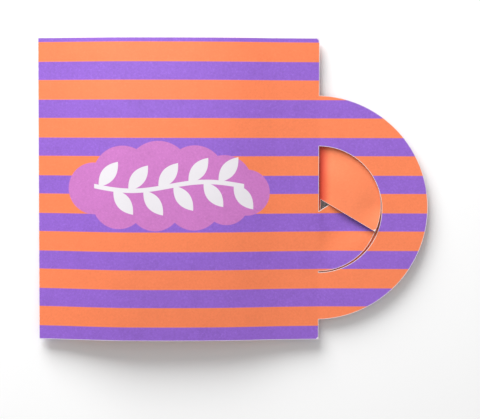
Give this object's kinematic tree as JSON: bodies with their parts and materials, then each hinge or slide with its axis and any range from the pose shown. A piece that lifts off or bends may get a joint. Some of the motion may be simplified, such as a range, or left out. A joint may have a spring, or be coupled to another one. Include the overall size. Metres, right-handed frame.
{
  "type": "mug-shaped tea bag wallet",
  "caption": "Folded card wallet shaped like a mug, striped outside, with a filter tea bag inside and a handle window closed by interlocking flaps.",
  "frame": {"origin": "bottom centre of the bounding box, on the surface that the back panel lies on", "axes": "+X from the folded edge towards the mug's handle, +Y towards the top edge, +Z out of the front panel"},
  "size_m": [0.0972, 0.0752, 0.0087],
  "materials": {
    "printed_card": "matt printed card, orange and purple stripes outside, plain orange inside, white cut edges",
    "filter_paper": "matt non-woven filter paper",
    "dry_tea": "dry black tea leaf, matt"
  },
  "bodies": {
    "root": {"mug_card": "printed_card", "filter_front_sheet": "filter_paper", "filter_back_sheet": "filter_paper", "tea_leaves": "dry_tea"}
  },
  "joints": []
}
